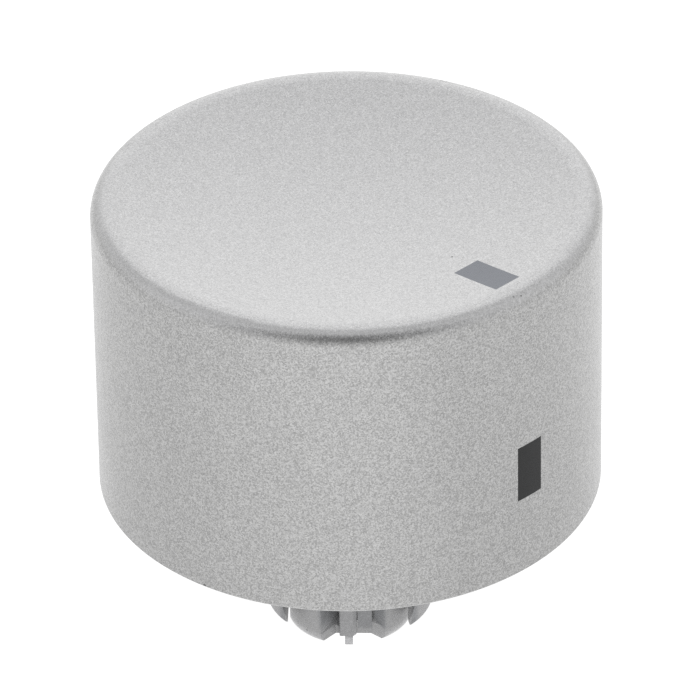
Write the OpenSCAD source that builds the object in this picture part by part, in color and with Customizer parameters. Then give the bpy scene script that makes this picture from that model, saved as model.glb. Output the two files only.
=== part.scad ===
// Round control knob: a painted cap on a moulded stem that plugs into a control.
// Millimetres. The origin is on the axis, in the plane of the cap's open rim.
// +Z points out through the knob's face, and the index marks face -Y.

/* [Cap] */
// Diameter of the cap at its open rim
cap_d = 40; // [36:0.1:46]
// Diameter of the cap just under its rounded top edge
cap_top_d = 39.92; // [35.8:0.02:46]
// Height from the open rim to the crest of the top edge
cap_h = 25.4; // [22:0.1:32]
// Radius of the rounded top edge
edge_r = 1.15; // [0.8:0.05:1.2]
// Radius of the soft crest between the hollow and the top edge
crest_r = 6; // [4:0.5:7]
// Slope at which the crest runs into the top edge
crest_tilt = 3; // [2:0.5:4]
// Depth of the hollow in the face, at its centre
dish = 1.2; // [1.2:0.05:2]
// Thickness of the side wall at the rim
wall = 2; // [1.6:0.1:2.4]
// Thickness of the face
face_t = 2.2; // [1.8:0.1:2.6]
// Break on the rim's outer edge
rim_break = 0.18; // [0.1:0.02:0.4]
// Number of gussets between the boss and the wall
gussets = 6; // [3:1:8]

/* [Index marks] */
// Width of both marks
mark_w = 2.55; // [1.5:0.01:4]
// Radius where the mark on the face starts
face_mark_r0 = 13.1; // [11:0.1:14]
// Radius where the mark on the face ends
face_mark_r1 = 17.6; // [15:0.1:17.6]
// Height above the rim where the mark on the wall starts
wall_mark_z0 = 6.9; // [4:0.1:9]
// Height above the rim where the mark on the wall ends
wall_mark_z1 = 11.8; // [10:0.1:16]
// Thickness of the print, which lies flush
print_t = 0.08; // [0.05:0.01:0.15]

/* [Stem] */
// Angle from the index marks round to the stem's fluted side
stem_turn = 46; // [0:0.5:90]
// Diameter of the round guide
guide_d = 13.8; // [13.4:0.1:14.4]
// Length of the guide below the rim
guide_drop = 8; // [6:0.1:9]
// Diameter of the socket end
core_d = 10.1; // [9.6:0.1:10.4]
// Length of the socket end below the rim
core_drop = 13.87; // [13.8:0.01:14.1]
// Length of the flute's floor and its rib below the rim
flute_drop = 13.7; // [13.4:0.1:13.7]
// Half the distance across the flats of the socket end
flat_x = 4.8; // [4.5:0.02:4.8]
// How much deeper one flat is cut than the other
flat_more = 0.1; // [0:0.02:0.12]
// Width of the slits beside the flats
slit = 0.05; // [0.05:0.01:0.3]
// Diameter across the two side fingers
finger_d = 13.3; // [12.6:0.1:13.3]
// Radius of the socket end's lower edge
end_r = 0.45; // [0.3:0.05:0.6]
// Length of the shorter side finger below the rim
finger_drop = 12.1; // [11:0.1:13]
// How much further down one finger reaches than the other
finger_more = 0.24; // [0:0.02:0.3]
// Half the width of the side fingers
finger_y = 4.2; // [4:0.1:4.3]
// How far the socket end and the fingers stand to one side of the axis
end_shift = 0.18; // [0:0.02:0.2]

/* [Shaft socket] */
// Diameter of the socket for a 6 mm shaft
shaft_d = 6.1; // [6.05:0.01:6.2]
// Size across the socket's flat, from flat to far wall
shaft_flat = 4.6; // [4.55:0.01:4.7]
// Depth of the socket from its mouth
shaft_depth = 19.7; // [15:0.1:20]

/* [Hidden] */
$fn = 144;

cap_r = cap_d / 2;
top_r = cap_top_d / 2;
// Each round stands 0.003 mm proud of what it runs into, so that the two cross cleanly.
proud = 0.003;
crest_z = cap_h - crest_r;
edge_z = crest_z + (crest_r - edge_r) * cos(crest_tilt) + proud;
edge_x = top_r - edge_r + proud;
crest_x = edge_x - (crest_r - edge_r) * sin(crest_tilt);
// Sphere of the hollow face: it reaches the depth at the centre and runs into the crest.
q = crest_r - proud;
k = crest_r - dish;
face_rho = (crest_x * crest_x + k * k - q * q) / (2 * (q - k));
face_z = cap_h - dish + face_rho;
meet_x = crest_x * (1 - crest_r / (face_rho + q));

boss_r = 9;
boss_z = 12;
bore_r = 6.55;
bore_top = 21;
spigot_r = 6.5;
key_w = 2;

function wall_r(z) = cap_r + (top_r - cap_r) * (z - rim_break) / (edge_z - rim_break);

// Half section of the cap's outside.
module cap_outline() {
  difference() {
    union() {
      polygon([[0, 0], [cap_r - rim_break, 0], [cap_r, rim_break], [top_r, edge_z],
               [meet_x, edge_z], [meet_x, cap_h + 1], [0, cap_h + 1]]);
      translate([edge_x, edge_z]) circle(r = edge_r, $fn = 120);
      intersection() {
        translate([crest_x, crest_z]) circle(r = crest_r, $fn = 360);
        translate([meet_x - 0.5, edge_z]) square([edge_x + edge_r * sin(crest_tilt) - meet_x + 0.5, edge_r + 1]);
      }
    }
    translate([0, face_z]) circle(r = face_rho, $fn = 900);
  }
}

// Half section of the space inside the cap, with the wall's draft and a sloped corner.
module cavity_outline() {
  difference() {
    polygon([[0, -1], [cap_r - wall + 0.3, -1], [cap_r - wall + 0.3, 0], [cap_r - wall, 0.3],
             [cap_r - wall - 0.15, cap_h - face_t - 2.6], [cap_r - wall - 1.55, cap_h - face_t + 0.2],
             [0, cap_h - face_t + 0.2]]);
    translate([0, face_z]) circle(r = face_rho + face_t, $fn = 900);
  }
}

module face_mark_prism() {
  translate([-mark_w / 2, -face_mark_r1, cap_h - 6]) cube([mark_w, face_mark_r1 - face_mark_r0, 12]);
}

module wall_mark_prism() {
  translate([-mark_w / 2, -cap_r - 2, wall_mark_z0]) cube([mark_w, 6, wall_mark_z1 - wall_mark_z0]);
}

// Shallow seats of the two prints.
module face_mark_seat() {
  intersection() {
    face_mark_prism();
    rotate_extrude() intersection() {
      translate([face_mark_r0 - 2, cap_h - 3]) square([face_mark_r1 - face_mark_r0 + 3, 6]);
      translate([0, face_z]) circle(r = face_rho + print_t, $fn = 900);
    }
  }
}

module wall_mark_ring(inner, outer) {
  z0 = wall_mark_z0 - 1;
  z1 = wall_mark_z1 + 1;
  intersection() {
    wall_mark_prism();
    rotate_extrude() polygon([[wall_r(z0) + inner, z0], [wall_r(z0) + outer, z0],
                              [wall_r(z1) + outer, z1], [wall_r(z1) + inner, z1]]);
  }
}

module knob_cap() color([0.74, 0.74, 0.73]) {
  difference() {
    union() {
      difference() {
        rotate_extrude() cap_outline();
        rotate_extrude() cavity_outline();
      }
      translate([0, 0, boss_z]) cylinder(r = boss_r, h = 23 - boss_z);
      for (i = [0 : gussets - 1]) rotate([0, 0, 360 / gussets * i])
        rotate([90, 0, 0]) translate([0, 0, -0.6]) linear_extrude(1.2)
          polygon([[bore_r + 1.6, boss_z + 2], [boss_r + 0.2, boss_z + 2], [boss_r + 5, 19.6], [cap_r - 1.6, 19.6],
                   [cap_r - 1.6, 22.4], [cap_r - 3.4, 23.4], [bore_r + 1.6, 23.4]]);
    }
    translate([0, 0, boss_z - 1]) cylinder(r = bore_r, h = bore_top - boss_z + 1);
    translate([0, 0, boss_z - 0.01]) cylinder(r1 = bore_r + 0.5, r2 = bore_r, h = 0.5);
    for (a = [0, 90]) rotate([0, 0, a - stem_turn])
      translate([-7.6, -key_w / 2 - 0.05, boss_z - 1]) cube([15.2, key_w + 0.1, bore_top - boss_z + 1]);
    face_mark_seat();
    wall_mark_ring(-print_t, 1);
  }
}

module face_mark() color([0.3, 0.31, 0.32]) {
  difference() {
    face_mark_seat();
    translate([0, 0, face_z]) rotate_extrude() intersection() {
      translate([0, -face_rho - 1]) square([face_rho, face_rho + 1]);
      circle(r = face_rho, $fn = 900);
    }
  }
}

module wall_mark() color([0.2, 0.21, 0.21]) wall_mark_ring(-print_t, 0);

// Flute in the socket end's front: an even floor between two sloped flanks.
module flute_2d() {
  polygon([[-1.07, -3.48], [1.78, -3.48], [4, -4.88], [4, -7], [-3.5, -7], [-3.5, -5.82]]);
}

// Everything before a sloped plane: it passes through the point p and recedes by sx along X and by sz along Z.
module before(p, sx, sz) {
  translate(p) rotate([asin(-sz / norm([sx, 1, sz])), 0, atan(sx)]) translate([-12, -24, -12]) cube(24);
}

// Above a sloped sill the flute is deeper: each flank runs on inwards, and a narrow groove follows the rib.
module deep_flute() {
  intersection() {
    translate([0, 0, -flute_drop]) linear_extrude(4.5)
      polygon([[-2.17, -4.52], [-0.76, -2.6], [-0.76, -6], [-2.17, -6]]);
    before([-0.76, -3.3, -flute_drop + 0.8], 0.75, 1.1);
  }
  intersection() {
    translate([0, 0, -flute_drop]) linear_extrude(4.5)
      polygon([[2.82, -4.16], [1.87, -3.2], [1.87, -6], [2.82, -6]]);
    before([1.87, -3.4, -flute_drop + 1.3], -0.65, 0.9);
  }
  translate([0.6, -6, -flute_drop + 1.3]) cube([0.1, 2.6, 3.2]);
}

// Half section of the socket end, with a rounded lower edge.
module socket_section() {
  polygon([[0, -core_drop], [core_d / 2 - end_r, -core_drop], [core_d / 2 - end_r, -core_drop + end_r],
           [core_d / 2, -core_drop + end_r], [core_d / 2, -guide_drop + 1], [0, -guide_drop + 1]]);
  translate([core_d / 2 - end_r, -core_drop + end_r]) circle(r = end_r, $fn = 60);
}

module socket_end() {
  difference() {
    translate([-end_shift, 0, 0]) union() {
      difference() {
        intersection() {
          rotate_extrude() socket_section();
          translate([-flat_x, -8, -20]) cube([2 * flat_x - flat_more, 16, 20]);
        }
        translate([0, 0, -core_drop - 1]) linear_extrude(core_drop - guide_drop + 1) flute_2d();
        deep_flute();
        // the flute's foot is cut back to its own length, sloping down to the flanks' outer edges
        translate([0, -1, 0]) rotate([90, 0, 0]) linear_extrude(5)
          polygon([[-2.4, -core_drop - 1], [-2.25, -core_drop], [-1.07, -flute_drop], [1.78, -flute_drop],
                   [2.9, -core_drop], [3.05, -core_drop - 1]]);
      }
      // rib up the flute
      translate([0, 0, -flute_drop]) linear_extrude(flute_drop - guide_drop + 0.5)
        polygon([[-0.76, -3], [-0.76, -3.82], [-0.68, -3.9], [0.34, -3.9], [0.6, -3.62], [0.6, -3]]);
      // gate pip under the rib
      translate([-0.32, -3.88, -flute_drop - 0.85]) cube([0.63, 0.6, 1.5]);
    }
    // D-shaped shaft socket with a lead-in
    intersection() {
      union() {
        translate([0, 0, -core_drop - 1]) cylinder(d = shaft_d, h = shaft_depth + 1);
        translate([0, 0, -core_drop - 0.01]) cylinder(d1 = shaft_d + 0.8, d2 = shaft_d, h = 0.4);
      }
      translate([-5, shaft_d / 2 - shaft_flat, -20]) cube([10, 10, 40]);
    }
  }
}

// Side finger: a segment of the round outside a slit. Above its tip its inner corners are cut back, up to the guide.
module finger(drop, inner, lead) {
  difference() {
    intersection() {
      rotate_extrude() polygon([[0, -drop], [finger_d / 2 - 0.12, -drop], [finger_d / 2, -drop + 0.12],
                                [finger_d / 2, -guide_drop + 0.45], [0, -guide_drop + 0.45]]);
      translate([inner, -finger_y, -20]) cube([8, 2 * finger_y, 20]);
    }
    for (m = [0, 1]) mirror([0, m, 0]) intersection() {
      translate([0, -8, -drop + 0.15]) cube([8, 8, 6]);
      before([inner, -finger_y, -drop + 0.15], -2.3, 0.9);
      before([inner, -finger_y + 1.5, -drop + 0.15], -2.3, 0);
    }
    // lead-in at the tip, towards the flat
    translate([0, 8, 0]) rotate([90, 0, 0]) linear_extrude(16)
      polygon([[inner - 0.1, -drop - 0.1], [inner + lead, -drop - 0.1], [inner + lead, -drop], [inner, -drop + 0.5], [inner - 0.1, -drop + 0.5]]);
  }
}

module stem_insert() color([0.62, 0.63, 0.64]) rotate([0, 0, -stem_turn]) {
  difference() {
    union() {
      // guide, collar and spigot
      rotate_extrude() polygon([[0, -guide_drop], [guide_d / 2 - 0.5, -guide_drop], [guide_d / 2, -guide_drop + 0.5],
                                [guide_d / 2, boss_z - 1.6], [boss_r, boss_z - 1.6], [boss_r, boss_z],
                                [spigot_r, boss_z], [spigot_r, 20], [spigot_r - 0.6, 20.6], [0, 20.6]]);
      for (a = [0, 90]) rotate([0, 0, a])
        translate([-7.5, -key_w / 2, boss_z - 0.8]) cube([15, key_w, 7]);
    }
    // core left open from above, under the cap
    translate([0, 0, 8.5]) cylinder(r = 4.5, h = 14);
    // the shaft socket goes on up through the guide
    intersection() {
      translate([0, 0, -guide_drop - 1]) cylinder(d = shaft_d, h = shaft_depth - core_drop + guide_drop + 1);
      translate([-5, shaft_d / 2 - shaft_flat, -20]) cube([10, 10, 40]);
    }
  }
  difference() {
    socket_end();
    translate([-10, -10, -guide_drop]) cube([20, 20, 40]);
  }
  // the fingers rise into the guide's lower bevel
  translate([-end_shift, 0, 0]) {
    finger(finger_drop + finger_more, flat_x - flat_more + slit, 0.16);
    rotate([0, 0, 180]) finger(finger_drop, flat_x + slit, 0.03);
  }
}

knob_cap();
stem_insert();
face_mark();
wall_mark();
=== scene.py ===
import math

import bpy
from mathutils import Matrix, Vector


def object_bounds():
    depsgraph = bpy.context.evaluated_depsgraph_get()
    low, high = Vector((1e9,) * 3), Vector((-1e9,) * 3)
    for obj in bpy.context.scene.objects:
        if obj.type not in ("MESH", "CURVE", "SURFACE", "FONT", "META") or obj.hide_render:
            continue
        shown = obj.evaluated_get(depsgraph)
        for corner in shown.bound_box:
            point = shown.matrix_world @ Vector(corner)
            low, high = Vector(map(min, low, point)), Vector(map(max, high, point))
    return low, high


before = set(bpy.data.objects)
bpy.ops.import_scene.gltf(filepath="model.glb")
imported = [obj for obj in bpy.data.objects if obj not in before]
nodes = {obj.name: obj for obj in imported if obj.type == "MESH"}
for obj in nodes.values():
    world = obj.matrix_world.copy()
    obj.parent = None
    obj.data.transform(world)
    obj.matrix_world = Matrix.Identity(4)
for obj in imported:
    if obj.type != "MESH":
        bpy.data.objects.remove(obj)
cad_lo, cad_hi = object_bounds()
scene = bpy.context.scene
MM = 0.001


# ---------------------------------------------------------------- node helpers
class Tree:
    """Short calls for building a node tree."""

    def __init__(self, tree):
        self.t = tree
        tree.nodes.clear()

    def add(self, kind, inputs=None, **props):
        n = self.t.nodes.new(kind)
        for k, v in props.items():
            setattr(n, k, v)
        for k, v in (inputs or {}).items():
            self.put(n.inputs[k], v)
        return n

    def put(self, socket, v):
        if isinstance(v, bpy.types.NodeSocket):
            self.t.links.new(v, socket)
        else:
            socket.default_value = v

    def math(self, op, a, b=None, c=None, clamp=False):
        n = self.t.nodes.new("ShaderNodeMath")
        n.operation, n.use_clamp = op, clamp
        for s, v in zip(n.inputs, (a, b, c)):
            if v is not None:
                self.put(s, v)
        return n.outputs[0]

    def vec(self, op, a, b=None, scale=None):
        n = self.t.nodes.new("ShaderNodeVectorMath")
        n.operation = op
        self.put(n.inputs[0], a)
        if b is not None:
            self.put(n.inputs[1], b)
        if scale is not None:
            self.put(n.inputs["Scale"], scale)
        return n.outputs["Value"] if op in ("DOT_PRODUCT", "LENGTH", "DISTANCE") else n.outputs["Vector"]

    def span(self, v, a, b, lo, hi, smooth=False):
        n = self.t.nodes.new("ShaderNodeMapRange")
        n.interpolation_type = "SMOOTHSTEP" if smooth else "LINEAR"
        for s, x in zip(n.inputs, (v, a, b, lo, hi)):
            self.put(s, x)
        return n.outputs[0]

    def blend(self, f, a, b):
        n = self.t.nodes.new("ShaderNodeMix")
        n.data_type = "RGBA"
        self.put(n.inputs["Factor"], f)
        self.put(n.inputs[6], a)
        self.put(n.inputs[7], b)
        return n.outputs[2]

    def noise(self, at, scale, detail=1.0, rough=0.5):
        n = self.add("ShaderNodeTexNoise", {"Vector": at, "Scale": scale, "Detail": detail, "Roughness": rough})
        return n.outputs["Fac"]


def material(name):
    m = bpy.data.materials.new(name)
    m.use_nodes = True
    t = Tree(m.node_tree)
    out = t.add("ShaderNodeOutputMaterial")
    p = t.add("ShaderNodeBsdfPrincipled")
    t.t.links.new(p.outputs[0], out.inputs[0])
    at = t.add("ShaderNodeTexCoord").outputs["Object"]
    return m, t, p, at


def dress(name, m):
    o = nodes[name]
    o.data.materials.clear()
    o.data.materials.append(m)


# ---------------------------------------------------------------- materials
def speck(t, at, spot, radius, dark):
    """1 everywhere, falling to 1 - dark on a tiny speck of dirt at spot (in mm)."""
    d = t.vec("DISTANCE", at, tuple(v * MM for v in spot))
    return t.span(d, radius * 0.75 * MM, radius * 1.2 * MM, 1.0 - dark, 1.0, smooth=True)


def silver_paint():
    """Fine metallic paint outside, fading over the rim to the bare moulding inside the cap."""
    m, t, p, at = material("silver_paint")
    normal = t.add("ShaderNodeNewGeometry").outputs["Normal"]
    # flakes lie in the paint at slightly different tilts, and each has its own tone
    flake = t.add("ShaderNodeTexVoronoi", {"Vector": at, "Scale": FLAKE_SCALE}).outputs["Color"]
    tilt = t.vec("SCALE", t.vec("SUBTRACT", flake, (0.5, 0.5, 0.5)), scale=FLAKE_TILT)
    t.put(p.inputs["Normal"], t.vec("NORMALIZE", t.vec("ADD", normal, tilt)))
    lot = t.add("ShaderNodeTexWhiteNoise", {"Vector": flake}, noise_dimensions="3D").outputs["Value"]
    # the wall was sprayed drier than the face, so its grain stands out more
    flat = t.math("ABSOLUTE", t.vec("DOT_PRODUCT", normal, (0.0, 0.0, 1.0)))
    depth = t.span(flat, 0.2, 0.95, GRAIN_WALL, GRAIN_FACE, smooth=True)
    tone = t.math("MULTIPLY_ADD", t.math("SUBTRACT", lot, 0.5), depth, 1.0)
    cloud = t.noise(at, 260.0, 2.0)
    tone = t.math("MULTIPLY", tone, t.span(cloud, 0.3, 0.7, 0.985, 1.015))
    # darker towards the open rim at the bottom of the wall: painted shade for the dimmer floor seen in reflection
    # there
    x, y, z = t.add("ShaderNodeSeparateXYZ", {"Vector": at}).outputs
    tone = t.math("MULTIPLY", tone, t.span(z, 0.0, 18.0 * MM, 0.94, 1.0))
    for spot, radius, dark in SPECKS:
        tone = t.math("MULTIPLY", tone, speck(t, at, spot, radius, dark))
    painted = t.vec("SCALE", PAINT_RGB, scale=tone)
    # bare inside: more than 0.8 mm under the skin, with overspray just within the rim
    r = t.vec("LENGTH", t.vec("MULTIPLY", at, (1.0, 1.0, 0.0)))
    deep = t.math("SUBTRACT", z, t.math("MULTIPLY", t.math("MULTIPLY", r, r), 3.6))
    bare = t.math("MULTIPLY", t.math("LESS_THAN", r, 19.2 * MM), t.math("LESS_THAN", deep, 23.1 * MM))
    spray = t.math("MULTIPLY_ADD", t.noise(at, 1200.0, 3.0), 2.0 * MM, z)
    bare = t.math("MULTIPLY", bare, t.span(spray, 1.4 * MM, 4.0 * MM, 0.0, 1.0, smooth=True))
    moulded = t.vec("SCALE", STEM_RGB, scale=t.span(cloud, 0.3, 0.7, 0.96, 1.04))
    t.put(p.inputs["Base Color"], t.blend(bare, painted, moulded))
    t.put(p.inputs["Metallic"], t.math("SUBTRACT", PAINT_METAL, bare, clamp=True))
    rough = t.span(cloud, 0.3, 0.7, PAINT_ROUGH - 0.02, PAINT_ROUGH + 0.02)
    t.put(p.inputs["Roughness"], t.math("MULTIPLY_ADD", bare, 0.18, rough))
    return m


def grey_plastic():
    m, t, p, at = material("grey_plastic")
    cloud = t.noise(at, 900.0, 3.0)
    fine = t.noise(at, 7000.0, 2.0)
    tone = t.math("MULTIPLY", t.span(cloud, 0.3, 0.7, 0.95, 1.05), t.span(fine, 0.3, 0.7, 0.88, 1.12))
    tone = t.math("MULTIPLY", tone, speck(t, at, STEM_SPECK, 0.1, 0.4))
    # the stem's own axes: u across the flute from its middle, v into it, z along the stem
    c, k = math.cos(STEM_TURN), math.sin(STEM_TURN)
    u = t.math("ADD", t.vec("DOT_PRODUCT", at, (c, -k, 0.0)), END_SHIFT)
    v = t.vec("DOT_PRODUCT", at, (k, c, 0.0))
    z = t.add("ShaderNodeSeparateXYZ", {"Vector": at}).outputs[2]
    far = t.math("ABSOLUTE", u)
    end = t.math("LESS_THAN", z, -8.0 * MM)
    front_side = t.math("MULTIPLY", end, t.math("LESS_THAN", v, -2.0 * MM))
    # painted shade in the flute, on the stem's front side only: darker in its deep corner, on its flat floor, on its
    # other flank and a little on the rib
    deep = t.math("MULTIPLY", t.span(u, -2.6 * MM, -2.0 * MM, 0.0, 1.0, smooth=True), t.span(u, -1.4 * MM, -0.95 * MM, 1.0, 0.3, smooth=True))
    deep = t.math("MULTIPLY", deep, t.math("LESS_THAN", u, -0.75 * MM))
    deep = t.math("MULTIPLY", deep, t.span(z, -13.4 * MM, -11.5 * MM, 0.0, DEEP_SHADE, smooth=True))
    flat = t.math("MULTIPLY", t.math("GREATER_THAN", u, 0.74 * MM), t.math("LESS_THAN", u, 1.87 * MM))
    flat = t.math("MULTIPLY", flat, t.span(z, -13.5 * MM, -12.9 * MM, 0.0, FLUTE_FLOOR_SHADE, smooth=True))
    side = t.math("MULTIPLY", t.span(u, 1.86 * MM, 2.2 * MM, 0.0, 1.0, smooth=True), t.span(u, 2.75 * MM, 3.15 * MM, 1.0, 0.0, smooth=True))
    sill = t.math("MULTIPLY_ADD", u, 0.6, z)
    side = t.math("MULTIPLY", side, t.span(sill, -11.25 * MM, -10.9 * MM, 0.0, SIDE_SHADE, smooth=True))
    rib = t.math("MULTIPLY", t.math("LESS_THAN", t.math("ABSOLUTE", t.math("ADD", u, 0.08 * MM)), 0.7 * MM), RIB_SHADE)
    painted_shade = t.math("MULTIPLY", t.math("ADD", t.math("ADD", deep, flat), t.math("ADD", side, rib)), front_side)
    # and painted shade in the fingers' inner corners
    corner_shade = t.math("MULTIPLY", t.span(far, 5.3 * MM, 5.7 * MM, 1.0, 0.0, smooth=True), t.span(far, 4.95 * MM, 5.25 * MM, 0.0, FINGER_SHADE, smooth=True))
    painted_shade = t.math("ADD", painted_shade, t.math("MULTIPLY", corner_shade, front_side))
    # darken the grey by the painted shade
    tone = t.math("MULTIPLY", tone, t.math("SUBTRACT", 1.0, painted_shade))
    # the socket end's lower edge and the thin pip are painted paler: painted light from the white floor below
    painted_light = t.math("MULTIPLY", t.span(z, -13.0 * MM, -13.8 * MM, 0.0, EDGE_PALE), t.span(far, 2.0 * MM, 4.0 * MM, 0.6, 1.0))
    painted_light = t.math("MULTIPLY", painted_light, t.span(far, 1.95 * MM, 2.3 * MM, 0.0, 1.0, smooth=True))
    painted_light = t.math("MULTIPLY", painted_light, t.span(v, -1.6 * MM, 0.4 * MM, 1.0, 0.0, smooth=True))
    painted_light = t.math("MULTIPLY", painted_light, t.span(t.math("ABSOLUTE", t.math("SUBTRACT", u, 2.5 * MM)), 0.3 * MM, 0.9 * MM, 0.3, 1.0, smooth=True))
    painted_light = t.math("MAXIMUM", painted_light, t.span(z, -13.75 * MM, -13.95 * MM, 0.0, PIP_PALE))
    tone = t.math("MULTIPLY", tone, t.math("ADD", painted_light, 1.0))
    # the painted shade also turns the grey slightly bluish
    tint = t.math("MULTIPLY", painted_shade, 2.5, clamp=True)
    t.put(p.inputs["Base Color"], t.blend(tint, t.vec("SCALE", STEM_RGB, scale=tone), t.vec("SCALE", SHADE_RGB, scale=tone)))
    t.put(p.inputs["Roughness"], t.span(cloud, 0.3, 0.7, 0.42, 0.5))
    rounded = t.add("ShaderNodeBevel", {"Radius": 0.11 * MM}, samples=6).outputs[0]
    bump = t.add("ShaderNodeBump", {"Strength": 0.15, "Distance": 0.02 * MM, "Height": fine, "Normal": rounded})
    t.put(p.inputs["Normal"], bump.outputs[0])
    return m


def index_print(name, rgb, rough, ior, tint=(1.0, 1.0, 1.0)):
    """Printed ink, made once for the wall and once for the face. The face's copy is a little glossier, and lighter and
    bluish with a high IOR and tinted specular: a painted reflection on the same ink.
    """
    m, t, p, at = material(name)
    fine = t.noise(at, 9000.0, 2.0)
    cloud = t.noise(at, 1500.0, 2.0)
    tone = t.math("MULTIPLY", t.span(fine, 0.3, 0.7, 0.75, 1.25), t.span(cloud, 0.3, 0.7, 0.92, 1.08))
    t.put(p.inputs["Base Color"], t.vec("SCALE", rgb, scale=tone))
    t.put(p.inputs["Roughness"], t.span(fine, 0.3, 0.7, rough - 0.03, rough + 0.03))
    p.inputs["IOR"].default_value = ior
    p.inputs["Specular Tint"].default_value = (*tint, 1.0)
    return m


FLAKE_SCALE = 10500.0
FLAKE_TILT = 0.16
GRAIN_WALL = 0.56
GRAIN_FACE = 0.26
PAINT_RGB = (0.441, 0.441, 0.438)
PAINT_METAL = 1.0
PAINT_ROUGH = 0.30
STEM_RGB = (0.372, 0.372, 0.374)
STEM_SPECK = (-5.17, -0.06, -13.22)
STEM_TURN = math.radians(46.0)
END_SHIFT = 0.18 * MM
# colour and strength of the painted shade in the stem's flute and finger corners, and of the painted light on its
# lower edge and pip
SHADE_RGB = (0.364, 0.371, 0.384)
DEEP_SHADE = 0.47
FLUTE_FLOOR_SHADE = 0.25
SIDE_SHADE = 0.36
RIB_SHADE = 0.09
FINGER_SHADE = 0.3
EDGE_PALE = 0.8
PIP_PALE = 0.6
# Specks of dirt on the paint: on the face, on its edge and on the rim. Place in mm, radius in mm, darkness.
SPECKS = [
    ((0.442, -11.184, 24.654), 0.085, 0.9),
    ((-1.03, -19.25, 25.29), 0.09, 0.4),
    ((-0.42, -19.44, 25.2), 0.07, 0.7),
    ((-19.63, -3.82, 0.24), 0.13, 0.55),
]

dress("knob_cap", silver_paint())
dress("stem_insert", grey_plastic())
# the face mark's ink is lighter and bluish, with a raised IOR and blue-tinted specular: a painted reflection of the
# bright light behind, on the same ink as the wall mark
dress("face_mark", index_print("index_print_face", (0.0265, 0.0295, 0.044), 0.27, 2.12, (0.9, 0.945, 1.0)))
dress("wall_mark", index_print("index_print_wall", (0.019, 0.0195, 0.02), 0.3, 1.3))

# ---------------------------------------------------------------- camera
# The photograph's view: 44 degrees round from the index marks, 33 degrees up.
VIEW_AZ = math.radians(-44.0)
VIEW_EL = math.radians(33.12)
ROLL = math.radians(-0.879)
DISTANCE = 551.4 * MM
target = Vector((0, 0, 12.703 * MM))
front = Vector((math.sin(VIEW_AZ), -math.cos(VIEW_AZ), 0))
right = Vector((math.cos(VIEW_AZ), math.sin(VIEW_AZ), 0))
up_z = Vector((0, 0, 1))
back = front * math.cos(VIEW_EL) + up_z * math.sin(VIEW_EL)
up = up_z * math.cos(VIEW_EL) - front * math.sin(VIEW_EL)
img_right = right * math.cos(ROLL) + up * math.sin(ROLL)
img_up = up * math.cos(ROLL) - right * math.sin(ROLL)
cam_data = bpy.data.cameras.new("camera")
cam_data.sensor_width = 36.0
cam_data.lens = 360.0
cam_data.clip_start, cam_data.clip_end = 0.01, 50.0
cam = bpy.data.objects.new("camera", cam_data)
scene.collection.objects.link(cam)
spot = target + back * DISTANCE + img_right * (0.140 * MM) - img_up * (1.256 * MM)
cam.matrix_world = Matrix((
    (img_right.x, img_up.x, back.x, spot.x),
    (img_right.y, img_up.y, back.y, spot.y),
    (img_right.z, img_up.z, back.z, spot.z),
    (0, 0, 0, 1),
))
scene.camera = cam


# ---------------------------------------------------------------- light
def towards(az, el):
    """Direction from the object: azimuth from the camera's side, positive to its right, and elevation, in degrees."""
    a, e = math.radians(az), math.radians(el)
    return (front * math.cos(a) + right * math.sin(a)) * math.cos(e) + up_z * math.sin(e)


# A ring of soft lights near the horizon, one above it and one near the top, brighter behind the object.
# No light stands where the camera does. Rows are azimuth (used on both sides), elevation, width and strength.
LEVEL = 1.36
LIGHTS = [
    (180, 8, 20, 0.84),
    (150, 8, 20, 0.46),
    (120, 8, 20, 0.45),
    (90, 8, 20, 0.45),
    (60, 8, 20, 0.50),
    (30, 8, 20, 0.49),
    (0, 8, 20, 0.42),
    (180, 35, 24, 0.69),
    (135, 35, 24, 0.44),
    (90, 35, 24, 0.50),
    (45, 35, 24, 0.40),
    (180, 62, 24, 0.26),
    (90, 62, 24, 0.46),
    (0, 90, 24, 0.37),
]
# and one on the right only, behind the object
LIGHT_RIGHT = (152, 34, 13, 0.2)

world = bpy.data.worlds.new("studio")
scene.world = world
world.use_nodes = True
w = Tree(world.node_tree)
w_out = w.add("ShaderNodeOutputWorld")
ray = w.add("ShaderNodeTexCoord").outputs["Generated"]
low = high = 0.0
for az, el, width, strength in LIGHTS + [LIGHT_RIGHT]:
    for side in (1, -1) if az % 180 and az != LIGHT_RIGHT[0] else (1,):
        d = towards(az * side, el)
        k = 1.0 / (1.0 - math.cos(math.radians(width)))
        c = w.vec("DOT_PRODUCT", ray, (d.x, d.y, d.z))
        lobe = w.math("EXPONENT", w.math("MULTIPLY_ADD", c, k, -k))
        if el < 20:
            low = w.math("MULTIPLY_ADD", lobe, strength * LEVEL, low)
        else:
            high = w.math("MULTIPLY_ADD", lobe, strength * LEVEL, high)
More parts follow.
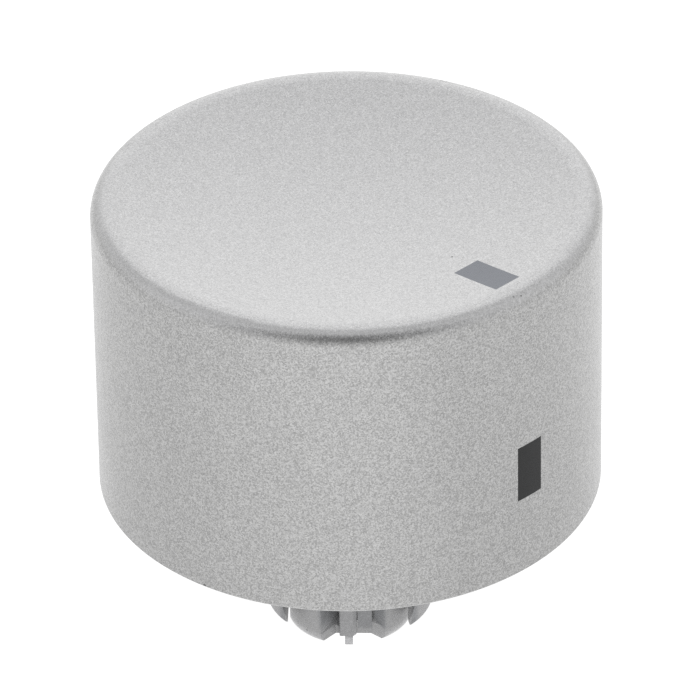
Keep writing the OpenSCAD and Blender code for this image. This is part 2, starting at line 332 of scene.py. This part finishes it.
# below the horizon the white floor goes on
under = w.span(w.vec("DOT_PRODUCT", ray, (0.0, 0.0, 1.0)), -0.0015, -0.0005, 1.0, 0.0)
over = w.math("SUBTRACT", 1.0, under)
low = w.math("ADD", w.math("MULTIPLY", low, over), w.math("MULTIPLY", under, 1.03))
bg_low = w.add("ShaderNodeBackground", {"Color": (1, 1, 1, 1), "Strength": low})
bg_high = w.add("ShaderNodeBackground", {"Color": (0.994, 0.996, 1.01, 1), "Strength": w.math("MULTIPLY", high, over)})
both = w.add("ShaderNodeAddShader")
w.t.links.new(bg_low.outputs[0], both.inputs[0])
w.t.links.new(bg_high.outputs[0], both.inputs[1])
w.t.links.new(both.outputs[0], w_out.inputs[0])

floor_mesh = bpy.data.meshes.new("floor")
S = 40.0
z0 = cad_lo.z - 0.0002
floor_mesh.from_pydata([(-S, -S, z0), (S, -S, z0), (S, S, z0), (-S, S, z0)], [], [(0, 1, 2, 3)])
floor = bpy.data.objects.new("floor", floor_mesh)
scene.collection.objects.link(floor)
fm = bpy.data.materials.new("floor_white")
fm.use_nodes = True
f = Tree(fm.node_tree)
f_out = f.add("ShaderNodeOutputMaterial")
# the floor is lit a little less at the object's sides than before and behind it
f_flat = f.vec("MULTIPLY", f.add("ShaderNodeTexCoord").outputs["Object"], (1.0, 1.0, 0.0))
f_at = f.vec("NORMALIZE", f_flat)
f_c = f.vec("DOT_PRODUCT", f_at, (front.x, front.y, 0.0))
f_glow = f.math("MULTIPLY_ADD", f.math("MULTIPLY", f_c, f_c), 0.155 * LEVEL, 0.742 * LEVEL)
f_glow = f.math("MULTIPLY_ADD", f_c, -0.05 * LEVEL, f_glow)
# and a little less again in three places further out: azimuth, width and how much less
f_out_there = f.span(f.vec("LENGTH", f_flat), 28.0 * MM, 45.0 * MM, 0.0, 1.0)
for az, width, less in ((43, 20, 0.055), (-130, 28, 0.06), (135, 24, 0.03)):
    d = towards(az, 0)
    k = 1.0 / (1.0 - math.cos(math.radians(width)))
    lobe = f.math("EXPONENT", f.math("MULTIPLY_ADD", f.vec("DOT_PRODUCT", f_at, (d.x, d.y, 0.0)), k, -k))
    f_glow = f.math("MULTIPLY_ADD", f.math("MULTIPLY", lobe, f_out_there), -less * LEVEL, f_glow)
f_glow = f.math("MAXIMUM", f_glow, 1.004)
f_em = f.add("ShaderNodeEmission", {"Color": (1, 1, 1, 1), "Strength": f_glow})
f.t.links.new(f_em.outputs[0], f_out.inputs[0])
floor_mesh.materials.append(fm)

scene.view_settings.view_transform = "Standard"
scene.view_settings.look = "None"
scene.cycles.use_denoising = False  # it would smooth the paint's grain away
